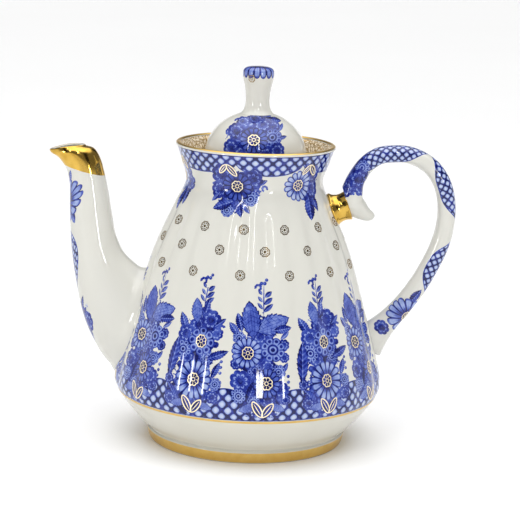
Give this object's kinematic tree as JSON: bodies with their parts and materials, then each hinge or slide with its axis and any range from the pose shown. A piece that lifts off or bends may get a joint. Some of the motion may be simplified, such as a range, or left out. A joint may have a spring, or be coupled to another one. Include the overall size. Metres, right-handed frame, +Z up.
{
  "type": "teapot",
  "caption": "Footed bell-shaped porcelain teapot: fluted sides, flared collar, swan-neck spout, loop handle on a gilded socket, domed drop-in lid with a knob, cobalt floral decoration.",
  "frame": {"origin": "on the surface the teapot stands on, below the axis of the body, midway between the spout's tip and the handle's outermost point", "axes": "+Z up along the body's axis; the spout points along -X and the handle along +X; -Y is the side seen from the front"},
  "size_m": [0.1866, 0.1234, 0.1735],
  "materials": {
    "porcelain_white": "clear glossy glaze over warm white porcelain",
    "porcelain_painted": "cobalt underglaze painting with gilded outlines on white porcelain, clear glossy glaze",
    "gilding": "bright fired gold film on glazed porcelain"
  },
  "bodies": {
    "pot": {"pot_body": "porcelain_painted", "base_with_foot": "porcelain_white", "spout": "porcelain_painted", "handle_socket": "gilding", "handle": "porcelain_painted"},
    "lid_body": {"lid": "porcelain_painted", "lid_knob": "porcelain_painted"}
  },
  "joints": [
    {"name": "lid_lift", "type": "slide", "parent": "pot", "child": "lid_body", "axis": [0, 0, 1], "range_m": [0, 0.04]}
  ]
}
